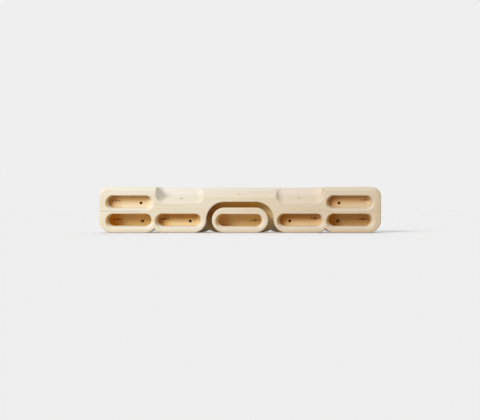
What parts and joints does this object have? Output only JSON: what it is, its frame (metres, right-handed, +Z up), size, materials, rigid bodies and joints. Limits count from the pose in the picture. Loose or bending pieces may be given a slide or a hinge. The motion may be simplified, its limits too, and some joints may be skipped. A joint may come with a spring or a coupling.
{
  "type": "hangboard",
  "caption": "Wall-mounted wooden training board for climbers, with finger pockets of several depths, a free centre grip and sloping holds on the top edge.",
  "frame": {"origin": "centre of the board's flat wall face", "axes": "+X to the viewer's right along the board, +Y out of the wall face into the wall, +Z up"},
  "size_m": [0.6, 0.057, 0.098],
  "materials": {
    "pine_light": "sanded, bare",
    "pine_mid": "sanded, bare",
    "pine_warm": "sanded, bare"
  },
  "bodies": {
    "root": {"front_upper_stave": "pine_light", "front_lower_left_stave": "pine_mid", "front_lower_right_stave": "pine_mid", "front_grip_cap": "pine_light", "front_grip_stave": "pine_mid", "middle_upper_stave": "pine_mid", "middle_lower_left_stave": "pine_warm", "middle_lower_right_stave": "pine_warm", "middle_grip_stave": "pine_warm", "back_upper_stave": "pine_light", "back_lower_stave": "pine_mid"}
  },
  "joints": []
}
